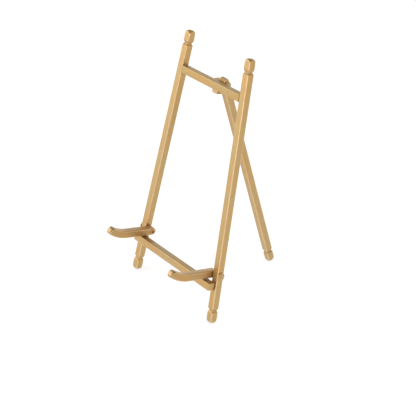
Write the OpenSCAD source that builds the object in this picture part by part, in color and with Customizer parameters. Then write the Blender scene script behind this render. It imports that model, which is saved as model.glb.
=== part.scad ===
// Tabletop display easel made of square bar: a leaning frame of two uprights and two crossbars,
// two riveted arms that hold a picture or a plate, and a rear leg on a riveted hinge.
// Origin: middle of the footprint, on the surface that the easel stands on.
// +X is to the right of a person facing the front, -Y is the front, +Z is up.

/* [Bar stock] */
// Side of the square bar that every bar is cut from
bar = 8.5; // [8:0.1:9]
// Radius of the long edges of the bar
edge_r = 1; // [0.6:0.1:1.2]

/* [Frame] */
// Length of an upright along its own axis, with both finials
upright_len = 290; // [275:1:320]
// Angle that the frame leans back from vertical, degrees
lean = 13.1; // [12:0.1:14]
// Distance between the centre lines of the uprights at their feet
foot_spacing = 140; // [134:1:146]
// Distance between the centre lines of the uprights at their tops
top_spacing = 100; // [94:1:106]
// Distance up the frame to the centre of the lower crossbar
lower_bar_s = 42.5; // [36:0.5:44]
// Distance that the lower crossbar's ends stop short of the uprights' outer faces
lower_bar_inset = 2.5; // [0:0.1:3]
// Distance up the frame to the centre of the top crossbar
top_bar_s = 246.7; // [240:0.1:250]
// Rounding of the cut ends of the lower crossbar
cut_end_r = 0.8; // [0.5:0.1:1.2]

/* [Finials] */
// Length of the block beyond the groove
bud_len = 13.6; // [12:0.2:15]
// Depth of the groove in each face
groove_d = 1; // [0.8:0.1:1.4]
// Width of the narrow bottom of the groove
groove_w = 1.2; // [0.8:0.1:2]
// Length of the slope from the groove up to the full bar
shoulder_len = 1.8; // [1:0.1:3]
// Radius of the domed end
dome_r = 12; // [10:0.5:13]
// Radius of the edges round the domed end
bud_end_r = 1.6; // [1.4:0.1:2]
// Radius of the block's taper into the groove
bud_taper_r = 5; // [4.5:0.1:7]

/* [Arms] */
// Distance along an upright from its foot to the arm's pivot
arm_pivot_s = 53.9; // [52:0.1:58]
// Length of the straight part of an arm in front of its pivot
arm_straight = 34; // [28:1:40]
// Centre-line radius of the bend at the front of an arm
arm_bend_r = 45; // [35:1:60]
// Angle of the bend, degrees
arm_bend = 33; // [20:1:45]
// Bevel round the end of an arm
tip_bevel = 1.8; // [1:0.1:2]

/* [Rear leg] */
// Distance up the frame to the leg's hinge
hinge_s = 247.7; // [247:0.1:248.5]
// Distance of the hinge behind the rear face of the top crossbar
hinge_back = 4.7; // [4.5:0.1:4.8]
// Distance from the uprights' feet back to the centre of the leg's foot
leg_foot_y = 130.7; // [128:0.1:138]
// Distance of the leg's round top beyond the hinge
leg_top = 8.5; // [8:0.1:9]
// Length of the hinge lug below the top crossbar
lug_below = 7; // [5:0.1:9]
// Length of the hinge lug above the top crossbar
lug_above = 0.6; // [0.4:0.1:1.4]
// Rounding of the ends of the hinge lug
lug_end_r = 1.4; // [1:0.1:2]

/* [Rivets and washers] */
// Radius of the rivet shanks
rivet_r = 2; // [1.8:0.1:2.2]
// Radius of the arm rivets' heads
arm_head_r = 4.8; // [4.4:0.1:5]
// Radius of the leg rivet's head
leg_head_r = 4.5; // [4:0.1:4.5]
// Height of the rivet heads
head_t = 1.9; // [1.7:0.1:2.2]
// Height of the straight rim of the rivet heads
head_rim = 0.9; // [0.6:0.1:1.2]
// Radius of the rolled tails of the rivets
tail_r = 3; // [2.8:0.1:3.2]
// Height of the rolled tails of the rivets
tail_t = 0.7; // [0.6:0.1:0.9]
// Radius of the hollow in the end of each rivet
hollow_r = 1.25; // [1.1:0.05:1.3]
// Depth of the hollow in the end of each rivet
hollow_d = 3; // [2:0.5:5]
// Outer radius of the washers
washer_r = 3.8; // [3.5:0.1:4]
// Thickness of the washers
washer_t = 0.6; // [0.5:0.1:0.8]
// Radial clearance of the turning parts on their rivets
bore_gap = 0.05; // [0.04:0.01:0.08]
// Side clearance of the turning parts
side_gap = 0.05; // [0.05:0.01:0.1]

/* [Welds] */
// Leg length of the weld fillets
weld_w = 1.2; // [0.8:0.1:1.4]

/* [Hidden] */

LEFT = -1;
RIGHT = 1;
BRASS = [0.78, 0.64, 0.42];
RIVET_BRASS = [0.74, 0.60, 0.38];
WASHER_BRASS = [0.80, 0.68, 0.46];
WELD_BRASS = [0.70, 0.56, 0.36];
ROUND = 64;
OVER = 1; // how far a cutting shape runs past the faces it cuts

half = bar / 2;
splay = atan((foot_spacing - top_spacing) / 2 / upright_len);
lift = dome_r * (1 - cos(splay) * cos(lean)); // brings the domed feet onto the surface
y_mid = 47; // middle of the footprint behind the uprights' feet

neck = bar - 2 * groove_d;
shaft_from = bud_len + groove_w; // where the full bar's slope starts

arm_x = half + washer_t + side_gap + half; // arm centre line inward of the upright's centre line
tail_x = arm_x + half + side_gap; // start of an arm rivet's tail

leg_x = half + washer_t + side_gap + half; // leg centre line right of the lug's centre line
hinge_n = half + hinge_back; // hinge line behind the plane of the frame's centre lines
hinge_y = hinge_s * sin(lean) + hinge_n * cos(lean);
hinge_z = hinge_s * cos(lean) - hinge_n * sin(lean) + lift;
leg_tilt = atan2(leg_foot_y - hinge_y, hinge_z - dome_r);
leg_reach = norm([leg_foot_y - hinge_y, hinge_z - dome_r]) + dome_r; // hinge to the foot's end
heel_gap = 0.1; // between the leg's heel and the crossbar it stops against

weld_len = bar - 2 * edge_r - 0.4;

// ---- Places ----

// The frame's plane: x across, y to the back, z up the frame
module in_frame() {
    translate([0, -y_mid, lift]) rotate([-lean, 0, 0]) children();
}

// An upright's own axis: z up the upright, x across it, origin at the end of its foot
module on_upright(side) {
    in_frame() translate([side * foot_spacing / 2, 0, 0]) rotate([0, -side * splay, 0]) children();
}

// An arm's pivot, with x pointing out of the frame on both sides
module at_arm_pivot(side) {
    on_upright(side) translate([0, 0, arm_pivot_s]) mirror([side == LEFT ? 1 : 0, 0, 0]) children();
}

// The leg's hinge, with x along the rivet and z up the frame
module at_hinge() {
    in_frame() translate([0, hinge_n, hinge_s]) children();
}

// Distance from the frame's middle to an upright's inner face, at a distance up the frame
function inner_face_x(s) =
    foot_spacing / 2 - s * tan(splay) - half / cos(splay);

// Distance from the frame's middle to an upright's centre line
function centre_line_x(s) = foot_spacing / 2 - s * tan(splay);

// ---- Bar ----

// Square section with rounded corners
module section(size = bar) {
    core = size - 2 * edge_r;
    square([size, core], center = true);
    square([core, size], center = true);
    for (x = [-core / 2, core / 2], y = [-core / 2, core / 2])
        translate([x, y]) circle(edge_r, $fn = ROUND);
}

// A length of bar standing on its lower end
module length_of_bar(len, size = bar) {
    linear_extrude(len) section(size);
}

// What lies inside one outline seen from the front and from the side; the outline is x by z
module inside_outline(depth = bar + OVER) {
    intersection() {
        rotate([90, 0, 0]) linear_extrude(depth, center = true) children();
        rotate([90, 0, 90]) linear_extrude(depth, center = true) children();
    }
}

// Outline of a bar with corners rounded at its upper end, its lower end left square
module round_topped_outline(len, r) {
    translate([-half, 0]) square([bar, len - r]);
    translate([-half + r, 0]) square([bar - 2 * r, len]);
    for (x = [-half + r, half - r]) translate([x, len - r]) circle(r, $fn = ROUND);
}

// A length of bar whose upper end has rounded edges
module round_topped_bar(len, r) {
    intersection() {
        length_of_bar(len);
        inside_outline() round_topped_outline(len, r);
    }
}

// A length of bar centred on the origin with rounded edges at both ends
module round_ended_bar(len, r) {
    for (turn = [0, 180]) rotate([turn, 0, 0]) round_topped_bar(len / 2, r);
}

// ---- Finials ----

// Outline of the block: a round-cornered end at z = 0 and a taper into the groove
module bud_outline() {
    taper_z = bud_len - sqrt(pow(bud_taper_r, 2) - pow(bud_taper_r - groove_d, 2));
    translate([-half, bud_end_r]) square([bar, taper_z - bud_end_r]);
    translate([-half + bud_end_r, 0]) square([bar - 2 * bud_end_r, taper_z]);
    for (x = [-half + bud_end_r, half - bud_end_r])
        translate([x, bud_end_r]) circle(bud_end_r, $fn = ROUND);
    intersection() {
        translate([-half, taper_z - OVER]) square([bar, bud_len - taper_z + OVER]);
        translate([half - bud_taper_r, taper_z]) circle(bud_taper_r, $fn = ROUND);
        translate([bud_taper_r - half, taper_z]) circle(bud_taper_r, $fn = ROUND);
    }
}

// The block with its domed end down, and the narrow neck above it
module finial() {
    intersection() {
        length_of_bar(bud_len);
        inside_outline() bud_outline();
        translate([0, 0, dome_r]) sphere(dome_r, $fn = ROUND);
    }
    translate([0, 0, bud_len - OVER]) length_of_bar(groove_w + 2 * OVER, neck);
}

// Outline of the full bar between two heights, sloped in at the ends that meet a groove
module shaft_outline(from, to, slope_top) {
    top_in = slope_top ? groove_d : 0;
    top_slope = slope_top ? shoulder_len : 0;
    polygon([
        [-neck / 2, from], [neck / 2, from],
        [half, from + shoulder_len], [half, to - top_slope],
        [half - top_in, to], [-half + top_in, to],
        [-half, to - top_slope], [-half, from + shoulder_len]
    ]);
}

// The full bar between two heights
module shaft(from, to, slope_top) {
    intersection() {
        translate([0, 0, from]) length_of_bar(to - from);
        inside_outline() shaft_outline(from, to, slope_top);
    }
}

// ---- Rivets and washers ----

// Bore along x through a bar
module cross_bore(r) {
    rotate([0, 90, 0]) cylinder(h = bar + 2 * OVER, r = r, center = true, $fn = ROUND);
}

// Rivet along x: its head's underside at x = grip_to, its tail's underside at x = grip_from
module rivet(grip_from, grip_to, head_r) {
    tail_end = grip_from - tail_t;
    dome_h = head_t - head_rim;
    dome_ball = (pow(head_r, 2) + pow(dome_h, 2)) / 2 / dome_h;
    rotate([0, 90, 0]) rotate_extrude($fn = ROUND) difference() {
        union() {
            translate([0, tail_end]) square([tail_r, tail_t]);
            translate([0, tail_end]) square([rivet_r, grip_to - tail_end + head_rim]);
            translate([0, grip_to]) square([head_r, head_rim]);
            intersection() {
                translate([0, grip_to + head_rim]) square([head_r, dome_h]);
                translate([0, grip_to + head_t - dome_ball]) circle(dome_ball, $fn = 2 * ROUND);
            }
        }
        translate([0, tail_end - OVER]) square([hollow_r, hollow_d + OVER]);
    }
}

// Washer along x from x = from
module washer(from) {
    translate([from, 0, 0]) rotate([0, 90, 0]) difference() {
        cylinder(h = washer_t, r = washer_r, $fn = ROUND);
        translate([0, 0, -OVER]) cylinder(h = washer_t + 2 * OVER, r = rivet_r, $fn = ROUND);
    }
}

// ---- Welds ----

// Fillet section in the corner of a wall (x = 0) and a floor (y = 0) whose edge at the wall is rounded
module fillet_section() {
    polygon([[0, 0], [edge_r + weld_w / 2, 0], [0, weld_w]]);
    difference() {
        translate([0, -edge_r]) square(edge_r);
        translate([edge_r, -edge_r]) circle(edge_r, $fn = ROUND);
    }
}

// Fillet between an upright's sloping inner face and a level face of the top crossbar
module butt_fillet(side, s, up) {
    corner = inner_face_x(s);
    top = s + up * weld_w;
    rotate([90, 0, 0]) linear_extrude(weld_len, center = true)
        polygon([
            [side * corner, s],
            [side * inner_face_x(top), top],
            [side * (corner - weld_w), s]
        ]);
}

// ---- Frame ----

module upright(side) {
    color(BRASS) difference() {
        on_upright(side) {
            finial();
            shaft(shaft_from, upright_len - shaft_from, true);
            translate([0, 0, upright_len]) mirror([0, 0, 1]) finial();
        }
        at_arm_pivot(side) cross_bore(rivet_r);
    }
}

module left_upright() {
    upright(LEFT);
}

module right_upright() {
    upright(RIGHT);
}

module top_crossbar() {
    low = top_bar_s - half;
    high = top_bar_s + half;
    color(BRASS) in_frame() intersection() {
        translate([0, 0, top_bar_s]) rotate([0, 90, 0])
            linear_extrude(foot_spacing, center = true) section();
        rotate([90, 0, 0]) linear_extrude(bar + OVER, center = true) polygon([
            [-inner_face_x(low), low], [inner_face_x(low), low],
            [inner_face_x(high), high], [-inner_face_x(high), high]
        ]);
    }
}

module lower_crossbar() {
    len = 2 * (centre_line_x(lower_bar_s) + half / cos(splay) - lower_bar_inset);
    color(BRASS) in_frame() translate([0, -bar, lower_bar_s]) rotate([0, 90, 0])
        round_ended_bar(len, cut_end_r);
}

module hinge_lug() {
    len = lug_below + bar + lug_above;
    middle = top_bar_s + (lug_above - lug_below) / 2;
    color(BRASS) in_frame() difference() {
        translate([0, bar, middle]) round_ended_bar(len, lug_end_r);
        translate([0, hinge_n, hinge_s]) cross_bore(rivet_r);
    }
}

// ---- Arms ----

// Outline of everything below a bar's end at z = 0 whose edges are bevelled at 45 degrees
module bevelled_outline(bevel, depth) {
    wide = 2 * bar;
    polygon([
        [-wide, -depth], [wide, -depth],
        [wide, half - bevel - wide], [half - bevel, 0],
        [bevel - half, 0], [-wide, half - bevel - wide]
    ]);
}

// The bend, from the end of the straight part to the bevelled tip
module arm_bend_shape() {
    translate([0, -arm_straight, arm_bend_r]) intersection() {
        mirror([0, 1, 0]) rotate([0, 90, 0])
            rotate_extrude(angle = arm_bend, $fn = 2 * ROUND) translate([arm_bend_r, 0]) section();
        rotate([-arm_bend, 0, 0]) translate([0, 0, -arm_bend_r]) rotate([90, 0, 0])
            inside_outline(4 * bar) bevelled_outline(tip_bevel, 2 * arm_bend_r);
    }
}

// Arm with its pivot at the origin, pointing to -y and turned up at its tip
module arm_shape() {
    intersection() {
        cross_bore(half);
        rotate([-90, 0, 0]) length_of_bar(half);
    }
    rotate([90, 0, 0]) length_of_bar(arm_straight);
    arm_bend_shape();
}

module arm(side) {
    color(BRASS) at_arm_pivot(side) difference() {
        translate([-arm_x, 0, 0]) arm_shape();
        translate([-arm_x, 0, 0]) cross_bore(rivet_r + bore_gap);
    }
}

module left_arm() {
    arm(LEFT);
}

module right_arm() {
    arm(RIGHT);
}

module arm_rivet(side) {
    color(RIVET_BRASS) at_arm_pivot(side) rivet(-tail_x, half, arm_head_r);
}

module left_arm_rivet() {
    arm_rivet(LEFT);
}

module right_arm_rivet() {
    arm_rivet(RIGHT);
}

module arm_washer(side) {
    color(WASHER_BRASS) at_arm_pivot(side) washer(-half - washer_t);
}

module left_arm_washer() {
    arm_washer(LEFT);
}

module right_arm_washer() {
    arm_washer(RIGHT);
}

// ---- Rear leg ----

// Leg with its hinge at the origin, pointing down
module leg_shape() {
    round_z = leg_top - half;
    translate([0, 0, -leg_reach]) {
        finial();
        shaft(shaft_from, leg_reach + round_z, false);
    }
    intersection() {
        translate([0, 0, round_z]) cross_bore(half);
        translate([0, 0, round_z]) length_of_bar(bar);
    }
}

module rear_leg() {
    color(BRASS) translate([leg_x, hinge_y - y_mid, hinge_z]) difference() {
        rotate([leg_tilt, 0, 0]) leg_shape();
        rotate([leg_tilt, 0, 0]) cross_bore(rivet_r + bore_gap);
        // heel that stops against the crossbar
        rotate([-lean, 0, 0]) translate([-bar, -hinge_back + heel_gap - bar, -bar / 2])
            cube([2 * bar, bar, 2 * bar]);
    }
}

module leg_rivet() {
    color(RIVET_BRASS) at_hinge() rivet(-half, leg_x + half + side_gap, leg_head_r);
}

module leg_washer() {
    color(WASHER_BRASS) at_hinge() washer(half);
}

// ---- Welds ----

module top_bar_welds() {
    color(WELD_BRASS) in_frame() for (side = [LEFT, RIGHT], up = [-1, 1])
        butt_fillet(side, top_bar_s + up * half, up);
}

module lower_bar_welds() {
    len = weld_len - lower_bar_inset;
    color(WELD_BRASS) in_frame() for (side = [LEFT, RIGHT], up = [-1, 1]) {
        x = centre_line_x(lower_bar_s + up * half) - lower_bar_inset / 2;
        translate([side * x, -half, lower_bar_s + up * half])
            rotate([0, 0, -90]) scale([1, 1, up]) rotate([90, 0, 0])
                linear_extrude(len, center = true) fillet_section();
    }
}

module lug_welds() {
    color(WELD_BRASS) in_frame() {
        // under the crossbar, against the lug's front face
        translate([0, half, top_bar_s - half]) rotate([0, 0, -90]) mirror([0, 0, 1])
            rotate([90, 0, 0]) linear_extrude(weld_len, center = true) fillet_section();
        // beside the lug, against the crossbar's rear face
        translate([-half, half, top_bar_s]) rotate([0, 0, 90])
            linear_extrude(weld_len, center = true) fillet_section();
    }
}

left_upright();
right_upright();
top_crossbar();
lower_crossbar();
hinge_lug();
rear_leg();
left_arm();
right_arm();
leg_rivet();
left_arm_rivet();
right_arm_rivet();
leg_washer();
left_arm_washer();
right_arm_washer();
top_bar_welds();
lower_bar_welds();
lug_welds();
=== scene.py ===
"""Looks of the tabletop display easel: satin gold bars, rivets, washers and weld beads.

Lengths are in millimetres, as on a drawing, until a mesh is made; Blender's own objects are in metres.
An upright, the leg and each arm is made in its own straight axes and then put in place by one matrix.
"""

import math

import bmesh
import bpy
from mathutils import Matrix, Vector


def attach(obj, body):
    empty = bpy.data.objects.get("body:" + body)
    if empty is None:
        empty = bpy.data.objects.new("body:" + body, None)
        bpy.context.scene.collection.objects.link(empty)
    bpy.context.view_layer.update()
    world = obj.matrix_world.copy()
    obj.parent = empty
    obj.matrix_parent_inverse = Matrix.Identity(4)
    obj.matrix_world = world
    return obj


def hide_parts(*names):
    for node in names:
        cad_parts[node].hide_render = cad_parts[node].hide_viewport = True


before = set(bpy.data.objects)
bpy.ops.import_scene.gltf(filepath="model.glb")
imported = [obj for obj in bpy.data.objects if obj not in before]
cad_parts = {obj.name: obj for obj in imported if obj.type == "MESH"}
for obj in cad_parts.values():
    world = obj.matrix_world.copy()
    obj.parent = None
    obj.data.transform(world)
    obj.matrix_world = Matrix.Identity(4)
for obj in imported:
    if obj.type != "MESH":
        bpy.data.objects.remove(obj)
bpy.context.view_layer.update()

MM = 0.001
LEFT, RIGHT = -1, 1

# ---- Driving dimensions, as in the CAD part ----

BAR = 8.5
HALF = BAR / 2
EDGE_R = 1.0
UPRIGHT_LEN = 290.0
LEAN = math.radians(13.1)
FOOT_SPACING = 140.0
TOP_SPACING = 100.0
LOWER_BAR_S = 42.5
LOWER_BAR_INSET = 2.5
TOP_BAR_S = 246.7
CUT_END_R = 0.8

BUD_LEN = 13.6
GROOVE_D = 1.0
GROOVE_W = 1.2
SHOULDER_LEN = 1.8
DOME_R = 12.0
BUD_END_R = 1.6
BUD_TAPER_R = 5.0

ARM_PIVOT_S = 53.9
ARM_STRAIGHT = 34.0
ARM_BEND_R = 45.0
ARM_BEND = math.radians(33)

HINGE_S = 247.7
HINGE_BACK = 4.7
HEEL_GAP = 0.1
LEG_FOOT_Y = 130.7
LEG_TOP = 8.5
LUG_BELOW = 7.0
LUG_ABOVE = 0.6
LUG_END_R = 1.4

RIVET_R = 2.0
ARM_HEAD_R = 4.8
LEG_HEAD_R = 4.5
HEAD_T = 1.9
HEAD_RIM = 0.9
TAIL_R = 3.0
TAIL_T = 0.7
HOLLOW_R = 1.25
HOLLOW_D = 3.0
WASHER_R = 3.8
WASHER_T = 0.6
BORE_GAP = 0.05
SIDE_GAP = 0.05
WELD_W = 1.2

# ---- Softer edges, which the CAD part leaves plainer ----

# Long edges of the finials' blocks, and of their ends over the last few millimetres
BUD_EDGE_R = 1.15
BUD_SOFT_R = 1.8
BUD_SOFT_LEN = 6.0
# Corners of an arm's tip seen from its side, and the long edges along the arm and at its tip
TIP_R = 3.0
ARM_EDGE_R = 1.15
TIP_EDGE_R = 2.3
TIP_LEN = 9.0
# Painted highlight on the flat end of an arm
TIP_END_HIGHLIGHT = 0.8
# Wear and painted highlight along the crossbars' long edges
CROSSBAR_WEAR_HIGHLIGHT = 0.3
# Length over which grime and painted shade darken the bar towards a butt joint
SEAM = 0.9
# Edge radius of the rivet heads' rims
RIM_R = 0.35
# Edge radius of the washers
WASHER_EDGE_R = 0.12

# ---- Places worked out from them ----

SPLAY = math.atan((FOOT_SPACING - TOP_SPACING) / 2 / UPRIGHT_LEN)
LIFT = DOME_R * (1 - math.cos(SPLAY) * math.cos(LEAN))
Y_MID = 47.0
ARM_X = HALF + WASHER_T + SIDE_GAP + HALF
LEG_X = ARM_X
HINGE_N = HALF + HINGE_BACK
HINGE_Y = HINGE_S * math.sin(LEAN) + HINGE_N * math.cos(LEAN)
HINGE_Z = HINGE_S * math.cos(LEAN) - HINGE_N * math.sin(LEAN) + LIFT
LEG_TILT = math.atan2(LEG_FOOT_Y - HINGE_Y, HINGE_Z - DOME_R)
LEG_REACH = math.hypot(LEG_FOOT_Y - HINGE_Y, HINGE_Z - DOME_R) + DOME_R


# ---- Places ----


def turn(angle, axis):
    return Matrix.Rotation(angle, 4, axis)


def move(x, y, z):
    return Matrix.Translation((x, y, z))


IN_FRAME = move(0, -Y_MID, LIFT) @ turn(-LEAN, "X")
AT_HINGE = IN_FRAME @ move(0, HINGE_N, HINGE_S)
ON_LEG = move(LEG_X, HINGE_Y - Y_MID, HINGE_Z) @ turn(LEG_TILT, "X")


def on_upright(side):
    """z up the upright from the end of its foot, x across it."""
    return IN_FRAME @ move(side * FOOT_SPACING / 2, 0, 0) @ turn(-side * SPLAY, "Y")


def on_arm(side):
    """Origin on the arm's centre line at its pivot, the arm pointing to -y."""
    return on_upright(side) @ move(-side * ARM_X, 0, ARM_PIVOT_S)


def at_arm_pivot(side):
    """x points out of the frame on both sides."""
    return on_upright(side) @ move(0, 0, ARM_PIVOT_S) @ turn(0 if side == RIGHT else math.pi, "Z")


def centre_line_x(s):
    return FOOT_SPACING / 2 - s * math.tan(SPLAY)


def inner_face_x(s):
    return centre_line_x(s) - HALF / math.cos(SPLAY)


# ---- Mesh making ----


class Shell:
    """Points and faces of one piece in its own axes, with each point's wear and painted highlight, and its
    grime and painted shade.
    """

    def __init__(self):
        self.points = []
        self.faces = []
        self.wear_and_highlight = []
        self.grime_and_shade = []

    def point(self, co, wear_and_highlight=0.0, grime_and_shade=0.0):
        self.points.append(Vector(co))
        self.wear_and_highlight.append(wear_and_highlight)
        self.grime_and_shade.append(grime_and_shade)
        return len(self.points) - 1

    def loop(self, points, wear_and_highlight=0.0, grime_and_shade=0.0):
        return [self.point(p, wear_and_highlight, grime_and_shade) for p in points]

    def bridge(self, low, high, skip=()):
        """Quads between two closed loops of equal length, except at the places in skip."""
        count = len(low)
        for i in range(count):
            if i in skip:
                continue
            j = (i + 1) % count
            self.faces.append((low[i], low[j], high[j], high[i]))

    def fan(self, loop, centre):
        for i, corner in enumerate(loop):
            self.faces.append((corner, loop[(i + 1) % len(loop)], centre))

    def make(self, name, place, body, slot, material, nodes):
        """The Blender object, put in place, riding on its body in the stead of its CAD nodes."""
        mesh = bpy.data.meshes.new(name)
        mesh.from_pydata([place @ p * MM for p in self.points], [], self.faces)
        layers = (("wear_and_highlight", self.wear_and_highlight), ("grime_and_shade", self.grime_and_shade))
        for layer, values in layers:
            mesh.attributes.new(layer, "FLOAT", "POINT").data.foreach_set("value", values)
        along = mesh.attributes.new("stock", "FLOAT_VECTOR", "POINT")
        along.data.foreach_set("vector", [c * MM for p in self.points for c in p])
        tidy = bmesh.new()
        tidy.from_mesh(mesh)
        bmesh.ops.recalc_face_normals(tidy, faces=tidy.faces)
        tidy.to_mesh(mesh)
        tidy.free()
        mesh.shade_smooth()
        mesh.set_sharp_from_angle(angle=SHARP_ANGLE)
        mesh.materials.append(material)
        piece = bpy.data.objects.new(name, mesh)
        bpy.context.scene.collection.objects.link(piece)
        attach(piece, body)
        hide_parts(*nodes)
        return piece


SHARP_ANGLE = math.radians(40)
CORNER_STEPS = 5
# Width of the strip beside a slab's edge that holds its flat's shading
SLAB_HOLD = 0.2
BORE_STEPS = 40
TURN_STEPS = 64
# Columns across a flat, as shares of its half width; the outer ones hold its shading flat
FLAT_COLUMNS = (-1, -0.933, -0.7, -0.467, -0.233, 0, 0.233, 0.467, 0.7, 0.933, 1)
FLAT_STEPS = len(FLAT_COLUMNS) - 1


def ring(hx, hy, r):
    """Rounded rectangle, anticlockwise from the start of the +x flat, as (x, y, is_corner)."""
    cx, cy = hx - r, hy - r
    sides = (((hx, 0), (0, cy)), ((0, hy), (-cx, 0)), ((-hx, 0), (0, -cy)), ((0, -hy), (cx, 0)))
    corners = ((cx, cy), (-cx, cy), (-cx, -cy), (cx, -cy))
    out = []
    for quarter, (middle, span) in enumerate(sides):
        for share in FLAT_COLUMNS:
            at_end = 1 if abs(share) == 1 else 0
            out.append((middle[0] + span[0] * share, middle[1] + span[1] * share, 0.5 * at_end))
        centre = corners[quarter]
        for step in range(1, CORNER_STEPS):
            angle = (quarter + step / CORNER_STEPS) * math.pi / 2
            out.append((centre[0] + r * math.cos(angle), centre[1] + r * math.sin(angle), 1.0))
    return out


def ring_index(quarter, column):
    return quarter * (FLAT_STEPS + CORNER_STEPS) + column


def dome_sag(x, y):
    return DOME_R - math.sqrt(DOME_R**2 - x * x - y * y)


def smooth(t):
    t = min(1.0, max(0.0, t))
    return t * t * (3 - 2 * t)


def bud_corner(height, half):
    """Radius of the block's long edges, softened towards its end."""
    soft = BUD_EDGE_R + (BUD_SOFT_R - BUD_EDGE_R) * (1 - smooth(height / BUD_SOFT_LEN))
    return min(0.9 * half, soft)


# From the finial's end to the plain bar
FINIAL_LEN = BUD_LEN + GROOVE_W + SHOULDER_LEN + 0.6
# Half the height of the band of bar round a bore
BAND_HALF = HALF - EDGE_R


def finial_stations():
    """From the end of the block to the shaft.

    Each is (height, half width, corner radius, sag, grime and painted shade, wear and painted highlight on
    the flats, wear and painted highlight at the corners).
    """
    stations = []
    flat_half = HALF - BUD_END_R
    for share in (0.06, 0.3, 0.55, 0.8):
        half = flat_half * share
        stations.append((0.0, half, bud_corner(0.0, half), 1.0, 0.0, 0.0, 0.0))
    for step in range(7):
        angle = step / 6 * math.pi / 2
        half = flat_half + BUD_END_R * math.sin(angle)
        height = BUD_END_R * (1 - math.cos(angle))
        # wear and painted highlight along the flats of the end's rounding
        rim = 0.6 * math.sin(2 * angle)
        stations.append((height, half, bud_corner(height, half), 1.0, 0.0, rim, step / 6))
    taper_from = BUD_LEN - math.sqrt(BUD_TAPER_R**2 - (BUD_TAPER_R - GROOVE_D) ** 2)
    for height in (3.2, 4.6, 6.2, 8.0, 9.4):
        sag = 1 - smooth((height - 2) / 6)
        stations.append((height, HALF, bud_corner(height, HALF), sag, 0.0, 0.0, 1.0))
    # the taper, groove and shoulder get grime and painted shade
    for step in range(9):
        height = taper_from + (BUD_LEN - taper_from) * step / 8
        drop = BUD_TAPER_R - math.sqrt(BUD_TAPER_R**2 - (height - taper_from) ** 2)
        stations.append((height, HALF - drop, BUD_EDGE_R, 0.0, 0.5 * smooth(step / 8), 0.0, 1.0))
    for share in (0.3, 0.7):
        stations.append((BUD_LEN + GROOVE_W * share, HALF - GROOVE_D, EDGE_R, 0.0, 0.5, 0.0, 1.0))
    for step in range(9):
        height = BUD_LEN + GROOVE_W + SHOULDER_LEN * step / 8
        rise = GROOVE_D * (0.5 - 0.5 * math.cos(math.pi * step / 8))
        grime_and_shade = 0.5 - 0.5 * smooth(step / 8)
        stations.append((height, HALF - GROOVE_D + rise, EDGE_R, 0.0, grime_and_shade, 0.0, 1.0))
    stations.append((FINIAL_LEN, HALF, EDGE_R, 0.0, 0.0, 0.0, 1.0))
    return stations


def add_ring(shell, z, hx, hy, r, sag=0.0, grime_and_shade=0.0, down=1, rim=0.0, worn_and_highlit=1.0):
    """One loop round the bar; sag bows it towards the bar's middle, down is -1 at an upper end.

    Rim is the wear and painted highlight along its flats, and the last argument is the same at its corners.
    """
    loop = []
    for x, y, corner in ring(hx, hy, r):
        height = z + down * sag * dome_sag(x, y)
        # wear and painted highlight on corners and rims, none where grime and painted shade lie
        wear_and_highlight = max(corner * worn_and_highlit, rim) * (1 - grime_and_shade)
        loop.append(shell.point((x, y, height), wear_and_highlight=wear_and_highlight, grime_and_shade=grime_and_shade))
    return loop


def bore_angle(shell, index, centre_z):
    """Where a point lies round the bore, in tenths of a degree."""
    point = shell.points[index]
    return round(math.degrees(math.atan2(point.z - centre_z, point.y)), 1)


def add_bore(shell, rows, radius, centre_z):
    """Bore along x through the flats, which are left open between the first and last rows."""
    rims = []
    for quarter in (0, 2):
        first, last = ring_index(quarter, 1), ring_index(quarter, FLAT_STEPS - 1)
        outline = [rows[0][i] for i in range(first, last)]
        outline += [row[last] for row in rows[:-1]]
        outline += [rows[-1][i] for i in range(last, first, -1)]
        outline += [row[first] for row in rows[:0:-1]]
        rim = []
        for index in outline:
            corner = shell.points[index]
            angle = math.atan2(corner.z - centre_z, corner.y)
            at = (corner.x, radius * math.cos(angle), centre_z + radius * math.sin(angle))
            # the bore's rim gets grime and painted shade
            rim.append(shell.point(at, grime_and_shade=0.6))
        shell.bridge(outline, rim)
        rims.append(rim)
    far = {bore_angle(shell, i, centre_z): i for i in rims[1]}
    match = [far[bore_angle(shell, i, centre_z)] for i in rims[0]]
    shell.bridge(rims[0], match)


def add_bore_band(shell, below, centre_z, radius):
    """Rows of bar round a bore, starting from the loop below; returns the last loop."""
    rows = []
    spread = [share * BAND_HALF for share in FLAT_COLUMNS]
    loop = add_ring(shell, centre_z + spread[0], HALF, HALF, EDGE_R)
    shell.bridge(below, loop)
    previous = loop
    open_columns = set()
    for quarter in (0, 2):
        open_columns |= {ring_index(quarter, column) for column in range(1, FLAT_STEPS - 1)}
    for height in spread[1:-1]:
        loop = add_ring(shell, centre_z + height, HALF, HALF, EDGE_R)
        shell.bridge(previous, loop, skip=open_columns if rows else ())
        rows.append(loop)
        previous = loop
    loop = add_ring(shell, centre_z + spread[-1], HALF, HALF, EDGE_R)
    shell.bridge(previous, loop)
    add_bore(shell, rows, radius, centre_z)
    return loop


def add_finial(shell, end_z, up):
    """Block, groove and shoulder, from the end at end_z; up is 1 at a foot and -1 at an upper end."""
    loops = []
    for height, half, radius, sag, grime_and_shade, rim, worn_and_highlit in finial_stations():
        z = end_z + up * height
        loops.append(add_ring(shell, z, half, half, radius, sag, grime_and_shade, up, rim, worn_and_highlit))
    for low, high in zip(loops, loops[1:]):
        shell.bridge(low, high)
    shell.fan(loops[0], shell.point((0, 0, end_z)))
    return loops[-1]


def add_shaft(shell, below, heights):
    for height in heights:
        loop = add_ring(shell, height, HALF, HALF, EDGE_R)
        shell.bridge(below, loop)
        below = loop
    return below


def even_heights(low, high, pitch=12.0):
    """Heights between two ends, not counting the ends."""
    count = max(1, round((high - low) / pitch))
    return [low + (high - low) * i / count for i in range(1, count)]


def outward_normals(outline):
    normals = []
    for i, here in enumerate(outline):
        before = Vector(outline[i - 1])
        after = Vector(outline[(i + 1) % len(outline)])
        along = (Vector(here) - before).normalized() + (after - Vector(here)).normalized()
        normals.append(Vector((along.y, -along.x)).normalized())
    return normals


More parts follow.
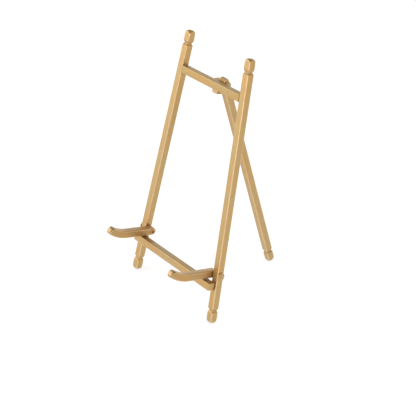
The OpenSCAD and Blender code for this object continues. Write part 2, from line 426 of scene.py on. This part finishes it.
def slab(outline, radii, edge_wear_highlight, face_highlight, bore, bore_r):
    """A bar seen from its side as (y, z) points, with one bore along x.

    Each point has its own edge radius, its share of the wear and painted highlight along the edge, and a
    painted highlight for the outer face beside it.
    """
    shell = Shell()
    normals = outward_normals(outline)
    levels = [(0.0, SLAB_HOLD, 0.0), (0.0, 0.0, 0.5)]
    for step in range(1, CORNER_STEPS):
        levels.append((step / CORNER_STEPS * math.pi / 2, 0.0, 1.0))
    levels.append((math.pi / 2, 0.0, 0.5))
    loops = []
    for sign in (1, -1):
        for angle, hold, wear_and_highlight in levels[::sign]:
            loop = []
            for at, normal, r, worn_and_highlit, face_highlight_share in zip(outline, normals, radii, edge_wear_highlight, face_highlight):
                inset = r * (1 - math.sin(angle)) + hold
                x = sign * (HALF - r * (1 - math.cos(angle)))
                place = (x, at[0] - normal.x * inset, at[1] - normal.y * inset)
                at_rim = angle == math.pi / 2
                # wear and painted highlight along the edge, and a painted highlight on a face's rim
                loop.append(shell.point(place, wear_and_highlight=max(wear_and_highlight * worn_and_highlit, face_highlight_share if at_rim else 0.0)))
            loops.append(loop)
    for low, high in zip(loops, loops[1:]):
        shell.bridge(low, high)
    rims = []
    for x in (HALF, -HALF):
        circle = arc(bore, bore_r, 0, 2 * math.pi, BORE_STEPS)[:-1]
        rims.append(shell.loop([(x, y, z) for y, z in circle], grime_and_shade=0.6))
    shell.bridge(*rims)
    for loop, rim in ((loops[0], rims[0]), (loops[-1], rims[1])):
        add_flat_with_hole(shell, loop, rim)
    return shell


def arc(centre, radius, start, end, steps):
    """Points (a, b) on an arc, angles in radians, both ends included."""
    points = []
    for i in range(steps + 1):
        angle = start + (end - start) * i / steps
        points.append((centre[0] + radius * math.cos(angle), centre[1] + radius * math.sin(angle)))
    return points


def add_flat_with_hole(shell, loop, rim):
    """Triangles between a flat side's outline and the rim of its bore."""
    flat = bmesh.new()
    verts = {i: flat.verts.new(shell.points[i]) for i in loop + rim}
    edges = []
    for ring_of in (loop, rim):
        for i, index in enumerate(ring_of):
            edges.append(flat.edges.new((verts[index], verts[ring_of[(i + 1) % len(ring_of)]])))
    bmesh.ops.triangle_fill(flat, use_beauty=True, use_dissolve=False, edges=edges)
    index_of = {v: i for i, v in verts.items()}
    for face in flat.faces:
        shell.faces.append(tuple(index_of[v] for v in face.verts))
    flat.free()


def lathe(profile, steps=TURN_STEPS):
    """Shell turned about the x axis; the profile is a list of (x, radius, wear and painted highlight, grime
    and painted shade), closed.
    """
    shell = Shell()
    loops = []
    for x, radius, wear_and_highlight, grime_and_shade in profile:
        points = []
        for i in range(steps):
            angle = 2 * math.pi * i / steps
            points.append((x, radius * math.cos(angle), radius * math.sin(angle)))
        loops.append(shell.loop(points, wear_and_highlight, grime_and_shade))
    return shell, loops


# ---- Materials ----

GOLD = (0.528, 0.346, 0.148)


class Nodes:
    """Short calls for making a node tree."""

    def __init__(self, material):
        material.use_nodes = True
        self.tree = material.node_tree
        self.tree.nodes.clear()

    def add(self, kind, **settings):
        node = self.tree.nodes.new(kind)
        for name, value in settings.items():
            setattr(node, name, value)
        return node

    def link(self, out, into):
        self.tree.links.new(out, into)

    def put(self, value, socket):
        """A number or colour is set, and an output is linked."""
        if isinstance(value, bpy.types.NodeSocket):
            self.link(value, socket)
        else:
            socket.default_value = value

    def maths(self, operation, a, b, c=None, clamp=False):
        node = self.add("ShaderNodeMath", operation=operation, use_clamp=clamp)
        for value, socket in zip((a, b, c), node.inputs):
            if value is not None:
                self.put(value, socket)
        return node.outputs[0]

    def attribute(self, name, vector=False):
        node = self.add("ShaderNodeAttribute", attribute_name=name)
        return node.outputs["Vector" if vector else "Fac"]

    def noise(self, at, scale, detail, stretch=(1, 1, 1), roughness=0.5, offset=0.0):
        mapping = self.add("ShaderNodeMapping")
        mapping.inputs["Scale"].default_value = stretch
        mapping.inputs["Location"].default_value = (offset, offset, offset)
        self.link(at, mapping.inputs["Vector"])
        node = self.add("ShaderNodeTexNoise")
        self.link(mapping.outputs[0], node.inputs["Vector"])
        node.inputs["Scale"].default_value = scale
        node.inputs["Detail"].default_value = detail
        node.inputs["Roughness"].default_value = roughness
        return node.outputs["Fac"]

    def between(self, value, low, high):
        """Value moved from 0..1 to low..high."""
        node = self.add("ShaderNodeMapRange")
        self.link(value, node.inputs["Value"])
        node.inputs["To Min"].default_value = low
        node.inputs["To Max"].default_value = high
        return node.outputs["Result"]

    def window(self, value, low, high):
        """0 below low, 1 above high, smooth between them."""
        node = self.add("ShaderNodeMapRange", interpolation_type="SMOOTHSTEP")
        self.link(value, node.inputs["Value"])
        node.inputs["From Min"].default_value = low
        node.inputs["From Max"].default_value = high
        return node.outputs["Result"]

    def mix(self, factor, a, b, blend="MIX"):
        node = self.add("ShaderNodeMix", data_type="RGBA", blend_type=blend)
        self.put(factor, node.inputs["Factor"])
        self.put(a, node.inputs[6])
        self.put(b, node.inputs[7])
        return node.outputs[2]


# What the lacquer's colour is multiplied by in its patches, where wear and painted highlight lighten it,
# where grime and painted shade darken it, and near other parts, where dirt and painted shade darken it
WARM_TINT = (1.05, 0.975, 0.80)
COOL_TINT = (0.95, 1.02, 1.03)
WEAR_HIGHLIGHT_TINT = (1.55, 1.6, 1.9)
GRIME_SHADE_TINT = (0.62, 0.50, 0.36)
SOIL_SHADE_TINT = (0.42, 0.31, 0.20)
# How far in metres a neighbouring part reaches in painting shade, with dirt, into a corner
SOIL_SHADE_REACH = 0.006
# Height in metres of the full grain
BUMP_HEIGHT = 0.00006


def shade(colour, factor):
    return tuple(c * factor for c in colour) + (1.0,)


def tinted(colour, tint):
    return tuple(c * t for c, t in zip(colour, tint)) + (1.0,)


def lacquer_noises(n, offset):
    """Patterns on the stock, finer from first to last but for the nicks; drawn lines run along it."""
    at = n.attribute("stock", vector=True)
    return {
        "clouds": n.noise(at, 55, 4, stretch=(1, 1, 0.45), offset=offset),
        "blotches": n.noise(at, 210, 3, stretch=(1, 1, 0.6), offset=offset + 3.1),
        "lines": n.noise(at, 2600, 4, stretch=(1, 1, 0.025), roughness=0.65, offset=offset + 7.7),
        "grain": n.noise(at, 5200, 2, offset=offset + 1.3),
        "nicks": n.noise(at, 420, 3, stretch=(1, 1, 0.5), roughness=0.7, offset=offset + 5.9),
    }


def wear_highlight_and_recess_shade(n, noises):
    """Wear with painted highlight along edges, and grime with painted shade in grooves, seams and corners."""
    patches = n.between(n.window(noises["nicks"], 0.10, 0.60), 0.35, 1.0)
    worn_and_highlit = n.maths("MULTIPLY", n.attribute("wear_and_highlight"), patches, clamp=True)
    grime_and_shade_patches = n.between(noises["clouds"], 0.35, 0.85)
    dull_and_shaded = n.maths("MULTIPLY", n.attribute("grime_and_shade"), grime_and_shade_patches, clamp=True)
    return worn_and_highlit, dull_and_shaded


def corner_soil_and_shade(n, noises):
    """Painted shade, with dirt, where another part stands close by."""
    near = n.add("ShaderNodeAmbientOcclusion", samples=8)
    near.inputs["Distance"].default_value = SOIL_SHADE_REACH
    soil_and_shade = n.window(n.maths("SUBTRACT", 1.0, near.outputs["AO"]), 0.25, 0.75)
    return n.maths("MULTIPLY", soil_and_shade, n.between(noises["nicks"], 0.55, 1.0))


def lacquer_colour(n, colour, noises, worn_and_highlit, dull_and_shaded):
    patches = n.window(noises["clouds"], 0.36, 0.66)
    base = n.mix(patches, tinted(colour, WARM_TINT), tinted(colour, COOL_TINT))
    stains = n.between(n.window(noises["blotches"], 0.35, 0.7), 0.0, 0.30)
    base = n.mix(stains, base, shade(colour, 0.88))
    base = n.mix(n.between(noises["lines"], 0.0, 0.14), base, shade(colour, 0.72))
    # edges lightened by wear and a painted highlight
    base = n.mix(n.maths("MULTIPLY", worn_and_highlit, 0.7), base, tinted(colour, WEAR_HIGHLIGHT_TINT))
    # recesses darkened by grime and painted shade
    base = n.mix(n.maths("MULTIPLY", dull_and_shaded, 0.6), base, tinted(colour, GRIME_SHADE_TINT))
    # painted shade, with dirt, where other parts stand close
    soil_and_shade = n.maths("MULTIPLY", corner_soil_and_shade(n, noises), 0.85)
    return n.mix(soil_and_shade, base, tinted(colour, SOIL_SHADE_TINT))


def lacquer_roughness(n, roughness, noises, worn_and_highlit, dull_and_shaded):
    patches = n.between(noises["blotches"], roughness - 0.07, roughness + 0.07)
    rough = n.maths("ADD", patches, n.between(noises["grain"], -0.04, 0.04))
    rough = n.maths("MULTIPLY_ADD", worn_and_highlit, -0.05, rough)
    return n.maths("MULTIPLY_ADD", dull_and_shaded, 0.16, rough, clamp=True)


def lacquer_bump(n, noises, line_bump):
    height = n.maths("MULTIPLY_ADD", noises["lines"], line_bump, n.maths("MULTIPLY", noises["grain"], 0.35))
    height = n.maths("MULTIPLY_ADD", noises["blotches"], 0.6, height)
    bump = n.add("ShaderNodeBump")
    bump.inputs["Strength"].default_value = 0.55
    bump.inputs["Distance"].default_value = BUMP_HEIGHT
    n.link(height, bump.inputs["Height"])
    return bump.outputs["Normal"]


def satin_gold(name, colour, roughness, offset, line_bump=0.5):
    """Lacquered gold metal: mottled, with drawn lines, fine grain, worn edges with painted highlights, and
    recesses dull with grime and painted shade.
    """
    material = bpy.data.materials.new(name)
    n = Nodes(material)
    noises = lacquer_noises(n, offset)
    worn_and_highlit, dull_and_shaded = wear_highlight_and_recess_shade(n, noises)
    shader = n.add("ShaderNodeBsdfPrincipled")
    shader.inputs["Metallic"].default_value = 0.82
    shader.inputs["IOR"].default_value = 1.5
    shader.inputs["Coat Weight"].default_value = 0.35
    shader.inputs["Coat Roughness"].default_value = 0.32
    n.link(lacquer_colour(n, colour, noises, worn_and_highlit, dull_and_shaded), shader.inputs["Base Color"])
    n.link(lacquer_roughness(n, roughness, noises, worn_and_highlit, dull_and_shaded), shader.inputs["Roughness"])
    n.link(lacquer_bump(n, noises, line_bump), shader.inputs["Normal"])
    out = n.add("ShaderNodeOutputMaterial")
    n.link(shader.outputs["BSDF"], out.inputs["Surface"])
    return material


BAR_GOLD = satin_gold("bar_gold", GOLD, 0.42, 0.0)
LEG_GOLD = satin_gold("leg_gold", shade(GOLD, 0.98)[:3], 0.43, 11.0)
ARM_GOLD = satin_gold("arm_gold", (0.485, 0.306, 0.126), 0.42, 23.0)
# a darker copy of the bar gold, which paints shade on the top crossbar
TOP_SHADED_GOLD = satin_gold("top_crossbar_shaded_gold", (0.478, 0.308, 0.118), 0.42, 17.0)
RIVET_GOLD = satin_gold("rivet_gold", (0.47, 0.30, 0.13), 0.36, 31.0, line_bump=0.15)
WASHER_GOLD = satin_gold("washer_gold", (0.52, 0.35, 0.17), 0.34, 41.0, line_bump=0.2)
WELD_GOLD = satin_gold("weld_gold", (0.42, 0.26, 0.11), 0.48, 53.0, line_bump=0.1)


# ---- Uprights and rear leg ----

def upright(side, name):
    shell = Shell()
    loop = add_finial(shell, 0.0, 1)
    loop = add_shaft(shell, loop, even_heights(FINIAL_LEN, ARM_PIVOT_S - BAND_HALF))
    loop = add_bore_band(shell, loop, ARM_PIVOT_S, RIVET_R)
    loop = add_shaft(shell, loop, even_heights(ARM_PIVOT_S + BAND_HALF, UPRIGHT_LEN - FINIAL_LEN))
    top = add_finial(shell, UPRIGHT_LEN, -1)
    shell.bridge(loop, top)
    shell.make(name + "_bar", on_upright(side), "frame", "bars", BAR_GOLD, [name])


LEG_TOP_STEPS = 12


def add_round_top(shell, below):
    """The round top of the leg, from the loop below its centre up to its crown."""
    round_z = LEG_TOP - HALF
    for step in range(LEG_TOP_STEPS):
        angle = step / LEG_TOP_STEPS * math.pi / 2
        height = round_z + HALF * math.sin(angle)
        half_y = HALF * math.cos(angle)
        over = max(0.0, height - (LEG_TOP - EDGE_R))
        half_x = HALF - EDGE_R + math.sqrt(EDGE_R**2 - over**2)
        loop = add_ring(shell, height, half_x, half_y, min(EDGE_R, 0.5 * half_y))
        shell.bridge(below, loop)
        below = loop
    shell.fan(below, shell.point((0, 0, LEG_TOP), wear_and_highlight=0.5))


def flatten_heel(shell):
    """Flat that stops against the top crossbar's rear face."""
    opening = LEG_TILT + LEAN
    towards_bar = Vector((0, -math.cos(opening), math.sin(opening)))
    reach = HINGE_BACK - HEEL_GAP
    for point in shell.points:
        if point.z > 0 and point.dot(towards_bar) > reach:
            point -= towards_bar * (point.dot(towards_bar) - reach)


def rear_leg():
    """Hinge at the origin, foot down."""
    shell = Shell()
    loop = add_finial(shell, -LEG_REACH, 1)
    loop = add_shaft(shell, loop, even_heights(FINIAL_LEN - LEG_REACH, -BAND_HALF))
    loop = add_bore_band(shell, loop, 0.0, RIVET_R + BORE_GAP)
    add_round_top(shell, loop)
    flatten_heel(shell)
    shell.make("rear_leg_bar", ON_LEG, "leg", "bars", LEG_GOLD, ["rear_leg"])


# ---- Crossbars ----


def lower_crossbar_sizes(end):
    """Places along the bar, each with its half width, from its left end to its right end."""
    rounding = []
    for step in range(CORNER_STEPS + 1):
        angle = step / CORNER_STEPS * math.pi / 2
        half = HALF - CUT_END_R * (1 - math.sin(angle))
        rounding.append((end - CUT_END_R * (1 - math.cos(angle)), half))
    rounding.append((end - CUT_END_R - 0.3, HALF))
    middle = [(z, HALF) for z in even_heights(-end + 2, end - 2)]
    return [(-z, half) for z, half in rounding] + middle + rounding[::-1]


def lower_crossbar():
    """Lies on the uprights' front faces, with rounded cut ends."""
    end = centre_line_x(LOWER_BAR_S) + HALF / math.cos(SPLAY) - LOWER_BAR_INSET
    shell = Shell()
    loops = []
    for z, half in lower_crossbar_sizes(end):
        # less wear and painted highlight on the crossbar's edges
        loops.append(add_ring(shell, z, half, half, EDGE_R, worn_and_highlit=CROSSBAR_WEAR_HIGHLIGHT))
    for low, high in zip(loops, loops[1:]):
        shell.bridge(low, high)
    inner_half = HALF - CUT_END_R - 0.25
    for loop, sign in ((loops[0], LEFT), (loops[-1], RIGHT)):
        inner = add_ring(shell, sign * end, inner_half, inner_half, EDGE_R, worn_and_highlit=0.0)
        shell.bridge(loop, inner)
        shell.fan(inner, shell.point((0, 0, sign * end)))
    # the back edges that lie on the uprights get painted shade along the seam, and no wear
    upright_from = end + LOWER_BAR_INSET - BAR
    for i, point in enumerate(shell.points):
        if abs(point.z) > upright_from and point.y > HALF - 0.7 * EDGE_R:
            shell.grime_and_shade[i] = 1.0
            shell.wear_and_highlight[i] = 0.0
    place = IN_FRAME @ move(0, -BAR, LOWER_BAR_S) @ turn(math.pi / 2, "Y")
    shell.make("lower_crossbar_bar", place, "frame", "bars", BAR_GOLD, ["lower_crossbar"])


def top_crossbar():
    """Butts against the uprights' inner faces, which slope, so its ends are cut to the slope."""
    shell = Shell()
    reach = inner_face_x(TOP_BAR_S)
    seam = 1 - SEAM / reach
    shares = [-1.0, -seam] + [x / reach for x in even_heights(-reach * seam, reach * seam)] + [seam, 1.0]
    loops = []
    for share in shares:
        loop = []
        # the ends at the butt joints get grime and painted shade
        grime_and_shade = 1.0 if abs(share) == 1 else 0.0
        for x, y, corner in ring(HALF, HALF, EDGE_R):
            length = share * inner_face_x(TOP_BAR_S - x)
            wear_and_highlight = CROSSBAR_WEAR_HIGHLIGHT * corner * (1 - grime_and_shade)
            loop.append(shell.point((x, y, length), wear_and_highlight=wear_and_highlight, grime_and_shade=grime_and_shade))
        loops.append(loop)
    for low, high in zip(loops, loops[1:]):
        shell.bridge(low, high)
    shell.fan(loops[0], shell.point((0, 0, -reach)))
    shell.fan(loops[-1], shell.point((0, 0, reach)))
    place = IN_FRAME @ move(0, 0, TOP_BAR_S) @ turn(math.pi / 2, "Y")
    shell.make("top_crossbar_bar", place, "frame", "bars", TOP_SHADED_GOLD, ["top_crossbar"])


# ---- Arms and hinge lug ----


def arm_outline():
    """Seen along x, from the top of the round rear end, under the arm to its tip and back along its top."""
    right_angle = math.pi / 2
    points = arc((0, 0), HALF, -right_angle, right_angle, 24)
    bend_centre = (-ARM_STRAIGHT, ARM_BEND_R)
    inner, outer = ARM_BEND_R - HALF, ARM_BEND_R + HALF
    points += arc(bend_centre, inner, -right_angle, -right_angle - ARM_BEND + TIP_R / inner, 14)
    along = Vector((-math.cos(ARM_BEND), math.sin(ARM_BEND)))
    up = Vector((math.sin(ARM_BEND), math.cos(ARM_BEND)))
    tip = Vector(bend_centre) - up * ARM_BEND_R
    facing = math.atan2(along.y, along.x)
    for sign in (1, -1):
        centre = tip + up * sign * (HALF - TIP_R) - along * TIP_R
        if sign > 0:
            points += arc(centre, TIP_R, facing - right_angle, facing, 6)[1:]
        else:
            points += arc(centre, TIP_R, facing, facing + right_angle, 6)[:-1]
    points += arc(bend_centre, outer, -right_angle - ARM_BEND + TIP_R / outer, -right_angle, 14)
    return points


def arm(side, name):
    outline = arm_outline()
    radii = []
    edge_wear_highlight = []
    face_highlight = []
    tip_y = min(y for y, z in outline)
    reach = max(z * math.sin(ARM_BEND) - y * math.cos(ARM_BEND) for y, z in outline)
    for y, z in outline:
        near_tip = 1 - smooth((y - tip_y) / TIP_LEN)
        radii.append(ARM_EDGE_R + (TIP_EDGE_R - ARM_EDGE_R) * near_tip)
        # less wear and painted highlight round the tip
        edge_wear_highlight.append(1 - 0.9 * near_tip)
        # the arm's flat end gets a painted highlight
        on_end = z * math.sin(ARM_BEND) - y * math.cos(ARM_BEND) > reach - 0.3
        face_highlight.append(TIP_END_HIGHLIGHT if on_end else 0.0)
    shell = slab(outline, radii, edge_wear_highlight, face_highlight, (0, 0), RIVET_R + BORE_GAP)
    shell.make(name + "_bar", on_arm(side), name, "bars", ARM_GOLD, [name])


def hinge_lug():
    length = LUG_BELOW + BAR + LUG_ABOVE
    low = HINGE_S - (TOP_BAR_S - HALF - LUG_BELOW)
    outline = []
    quarter = math.pi / 2
    for i, (y, z) in enumerate(((1, 1), (-1, 1), (-1, -1), (1, -1))):
        centre = (y * (HALF - LUG_END_R), z * (length / 2 - LUG_END_R))
        outline += arc(centre, LUG_END_R, i * quarter, (i + 1) * quarter, 6)
    bore_z = low - length / 2
    count = len(outline)
    bore = (HINGE_BACK - HALF, bore_z)
    shell = slab(outline, [EDGE_R] * count, [1.0] * count, [0.0] * count, bore, RIVET_R)
    middle = TOP_BAR_S + (LUG_ABOVE - LUG_BELOW) / 2
    shell.make("hinge_lug_bar", IN_FRAME @ move(0, BAR, middle), "frame", "bars", BAR_GOLD, ["hinge_lug"])


# ---- Rivets and washers ----


def rolled_tail(grip_from):
    """Profile of the hollow and of the metal rolled out round it, as (x, radius, wear and painted highlight,
    grime and painted shade).
    """
    bottom = grip_from - TAIL_T + HOLLOW_D
    profile = [
        # the hollow is painted with shade
        (bottom, HOLLOW_R * 0.02, 0.0, 1.0),
        (bottom - 0.5, HOLLOW_R * 0.8, 0.0, 1.0),
        (bottom - 0.9, HOLLOW_R, 0.0, 1.0),
        (grip_from + 0.2, HOLLOW_R, 0.0, 1.0),
    ]
    lip_r = HOLLOW_R + 0.25
    roll = (TAIL_R - lip_r) / 2
    for step in range(11):
        angle = math.pi * step / 10
        x = grip_from - TAIL_T * math.sin(angle)
        profile.append((x, lip_r + roll - roll * math.cos(angle), 0.7 * math.sin(angle), 0.0))
    return profile


def domed_head(grip_to, head_r):
    """Profile of the head from its underside to near its crown."""
    rim_top = grip_to + HEAD_RIM - RIM_R
    profile = [
        (grip_to, head_r - 0.15, 0.0, 0.5),
        (grip_to + 0.15, head_r, 0.3, 0.2),
        (rim_top, head_r, 0.6, 0.0),
    ]
    for step in range(1, 6):
        angle = step / 5 * math.pi / 3
        profile.append((rim_top + RIM_R * math.sin(angle), head_r - RIM_R * (1 - math.cos(angle)), 1.0, 0.0))
    start_x, start_r = profile[-1][:2]
    rise = grip_to + HEAD_T - start_x
    for step in range(1, 9):
        share = 1 - step / 9
        profile.append((start_x + rise * (1 - share**2), start_r * share, 0.15, 0.0))
    return profile


def rivet(name, place, grip_from, grip_to, head_r, node):
    """Domed head at grip_to, shank, and a rolled tail with a hollow end at grip_from."""
    shank = [(grip_from, RIVET_R, 0.0, 0.5), (grip_to, RIVET_R, 0.0, 0.5)]
    profile = rolled_tail(grip_from) + shank + domed_head(grip_to, head_r)
    shell, loops = lathe(profile)
    for low, high in zip(loops, loops[1:]):
        shell.bridge(low, high)
    shell.fan(loops[0], shell.point((profile[0][0], 0, 0), grime_and_shade=1.0))
    shell.fan(loops[-1], shell.point((grip_to + HEAD_T, 0, 0)))
    shell.make(name, place, "frame", "rivets", RIVET_GOLD, [node])


def washer(name, place, start, node):
    soft = WASHER_EDGE_R
    end = start + WASHER_T
    profile = [
        (start, RIVET_R, 0.0, 0.6),
        (start, WASHER_R - soft, 0.0, 0.3),
        (start + soft * 0.3, WASHER_R - soft * 0.3, 1.0, 0.0),
        (start + soft, WASHER_R, 0.6, 0.0),
        (end - soft, WASHER_R, 0.6, 0.0),
        (end - soft * 0.3, WASHER_R - soft * 0.3, 1.0, 0.0),
        (end, WASHER_R - soft, 0.0, 0.3),
        (end, RIVET_R, 0.0, 0.6),
    ]
    shell, loops = lathe(profile)
    for low, high in zip(loops, loops[1:] + loops[:1]):
        shell.bridge(low, high)
    shell.make(name, place, "frame", "washers", WASHER_GOLD, [node])


# ---- Weld beads ----

RIPPLES = 7
BEAD_STEPS = 56
BEAD_LEN = BAR - 2 * EDGE_R - 0.4


def add_bead(shell, corner, run, wall_a, wall_b, leg_a, leg_b, root=0.0, length=BEAD_LEN):
    """A rippled bead along run through the corner.

    Each leg lies on its own wall, and root fills the rounded edge behind wall_b's side.
    """
    loops = []
    for i in range(BEAD_STEPS + 1):
        share = i / BEAD_STEPS
        taper = math.sqrt(max(0.0, 1 - (2 * share - 1) ** 6)) * 0.9 + 0.1
        ripple = 1 - 0.07 * abs(math.sin(math.pi * RIPPLES * share)) ** 0.5
        size = taper * ripple
        centre = corner + run * ((share - 0.5) * length)
        # the bead's root gets grime and painted shade; its crown, below, wear and a painted highlight
        loop = [shell.point(centre - wall_a * root, grime_and_shade=0.8)]
        for step in range(7):
            angle = math.pi / 2 * step / 6
            swell = size * (1 - 0.16 * math.sin(2 * angle))
            at = centre + wall_a * (leg_a * swell * math.cos(angle))
            at += wall_b * (leg_b * swell * math.sin(angle))
            crown = math.sin(2 * angle)
            loop.append(shell.point(at, wear_and_highlight=0.6 * crown, grime_and_shade=0.5 - 0.5 * crown))
        loops.append(loop)
    for low, high in zip(loops, loops[1:]):
        shell.bridge(low, high)
    shell.faces.append(tuple(loops[0]))
    shell.faces.append(tuple(reversed(loops[-1])))


X, Y, Z = Vector((1, 0, 0)), Vector((0, 1, 0)), Vector((0, 0, 1))


def top_bar_welds():
    shell = Shell()
    for side in (LEFT, RIGHT):
        for up in (-1, 1):
            s = TOP_BAR_S + up * HALF
            wall = (turn(-side * SPLAY, "Y") @ Z) * up
            add_bead(shell, Vector((side * inner_face_x(s), 0, s)), Y, wall, X * -side, WELD_W, WELD_W)
    shell.make("top_bar_beads", IN_FRAME, "frame", "welds", WELD_GOLD, ["top_bar_welds"])


def lower_bar_welds():
    shell = Shell()
    for side in (LEFT, RIGHT):
        for up in (-1, 1):
            s = LOWER_BAR_S + up * HALF
            corner = Vector((side * (centre_line_x(s) - LOWER_BAR_INSET / 2), -HALF, s))
            leg = EDGE_R + WELD_W / 2
            length = BEAD_LEN - LOWER_BAR_INSET
            add_bead(shell, corner, X, Z * up, Y * -1, WELD_W, leg, root=EDGE_R * 0.8, length=length)
    shell.make("lower_bar_beads", IN_FRAME, "frame", "welds", WELD_GOLD, ["lower_bar_welds"])


def lug_welds():
    shell = Shell()
    under = Vector((0, HALF, TOP_BAR_S - HALF))
    add_bead(shell, under, X, Z * -1, Y * -1, WELD_W, EDGE_R + WELD_W / 2, root=EDGE_R * 0.8)
    beside = Vector((-HALF, HALF, TOP_BAR_S))
    add_bead(shell, beside, Z, X * -1, Y, WELD_W, EDGE_R + WELD_W / 2, root=EDGE_R * 0.8)
    shell.make("lug_beads", IN_FRAME, "frame", "welds", WELD_GOLD, ["lug_welds"])


def build_easel():
    for side, name in ((LEFT, "left"), (RIGHT, "right")):
        upright(side, name + "_upright")
        arm(side, name + "_arm")
        pivot = at_arm_pivot(side)
        tail = -(ARM_X + HALF + SIDE_GAP)
        rivet(name + "_arm_rivet_lathe", pivot, tail, HALF, ARM_HEAD_R, name + "_arm_rivet")
        washer(name + "_arm_washer_ring", pivot, -HALF - WASHER_T, name + "_arm_washer")
    top_crossbar()
    lower_crossbar()
    hinge_lug()
    rear_leg()
    rivet("leg_rivet_lathe", AT_HINGE, -HALF, LEG_X + HALF + SIDE_GAP, LEG_HEAD_R, "leg_rivet")
    washer("leg_washer_ring", AT_HINGE, HALF, "leg_washer")
    top_bar_welds()
    lower_bar_welds()
    lug_welds()


# ---- Studio ----

FLOOR_GREY = 0.30
FLOOR_GLOW = 0.75
# Strength of the light from the walls and the ceiling, and how far up the one turns into the other
WALL_LIGHT = 1.0
CEILING_LIGHT = 0.10
WALL_TOP = 0.35
CEILING_FROM = 0.82
# Height in metres that the lights point at
LIT_HEIGHT = 0.12

CAMERA_AZIMUTH = math.radians(52.35)
CAMERA_ELEVATION = math.radians(28.80)
CAMERA_DISTANCE = 1.34087
CAMERA_LENS = 108.62
CAMERA_AIM = Vector((0.02694, -0.0180, 0.11869))


def away(azimuth, elevation):
    """Direction from the easel at an azimuth (0 in front, 90 degrees at its right) and an elevation."""
    level = math.cos(elevation)
    return Vector((math.sin(azimuth) * level, -math.cos(azimuth) * level, math.sin(elevation)))


def studio_floor():
    bpy.ops.mesh.primitive_plane_add(size=12, location=(0, 0, 0))
    floor = bpy.context.object
    floor.name = "studio_floor"
    material = bpy.data.materials.new("pale_floor")
    n = Nodes(material)
    shader = n.add("ShaderNodeBsdfPrincipled")
    shader.inputs["Base Color"].default_value = (FLOOR_GREY, FLOOR_GREY, FLOOR_GREY, 1)
    shader.inputs["Roughness"].default_value = 0.9
    shader.inputs["Specular IOR Level"].default_value = 0.1
    shader.inputs["Emission Color"].default_value = (1, 1, 1, 1)
    shader.inputs["Emission Strength"].default_value = FLOOR_GLOW
    out = n.add("ShaderNodeOutputMaterial")
    n.link(shader.outputs["BSDF"], out.inputs["Surface"])
    floor.data.materials.append(material)


def softbox(name, azimuth, elevation, distance, size, power, in_reflections=True):
    """A square area light seen from the easel at that azimuth and elevation in degrees."""
    light = bpy.data.lights.new(name, "AREA")
    light.shape = "SQUARE"
    light.size = size
    light.energy = power
    lamp = bpy.data.objects.new(name, light)
    back = away(math.radians(azimuth), math.radians(elevation))
    lamp.location = Vector((0, 0, LIT_HEIGHT)) + back * distance
    lamp.rotation_mode = "QUATERNION"
    lamp.rotation_quaternion = back.to_track_quat("Z", "Y")
    lamp.visible_glossy = in_reflections
    bpy.context.scene.collection.objects.link(lamp)


def studio_light():
    """White walls that darken towards the ceiling, a large light overhead and a low one beside the camera."""
    world = bpy.data.worlds.new("studio")
    bpy.context.scene.world = world
    n = Nodes(world)
    direction = n.add("ShaderNodeTexCoord").outputs["Generated"]
    split = n.add("ShaderNodeSeparateXYZ")
    n.link(direction, split.inputs[0])
    level = n.add("ShaderNodeMapRange", interpolation_type="SMOOTHSTEP")
    n.link(split.outputs["Z"], level.inputs["Value"])
    level.inputs["From Min"].default_value = WALL_TOP
    level.inputs["From Max"].default_value = CEILING_FROM
    level.inputs["To Min"].default_value = WALL_LIGHT
    level.inputs["To Max"].default_value = CEILING_LIGHT
    backdrop = n.add("ShaderNodeBackground")
    n.link(level.outputs["Result"], backdrop.inputs["Strength"])
    out = n.add("ShaderNodeOutputWorld")
    n.link(backdrop.outputs["Background"], out.inputs["Surface"])
    softbox("overhead_softbox", 0, 88, 2.2, 2.4, 50.0, in_reflections=False)
    softbox("left_softbox", -50, 20, 3.0, 2.6, 27.0)
    softbox("camera_side_softbox", 46, 9, 1.7, 0.5, 4.6)


def camera():
    """Long lens, from the easel's front right and above."""
    lens = bpy.data.cameras.new("camera")
    lens.sensor_width = 36.0
    lens.lens = CAMERA_LENS
    lens.clip_start = 0.05
    lens.clip_end = 50.0
    eye = bpy.data.objects.new("camera", lens)
    back = away(CAMERA_AZIMUTH, CAMERA_ELEVATION)
    eye.location = CAMERA_AIM + back * CAMERA_DISTANCE
    eye.rotation_mode = "QUATERNION"
    eye.rotation_quaternion = back.to_track_quat("Z", "Y")
    bpy.context.scene.collection.objects.link(eye)
    bpy.context.scene.camera = eye


build_easel()
studio_floor()
studio_light()
camera()
bpy.context.scene.view_settings.view_transform = "Standard"
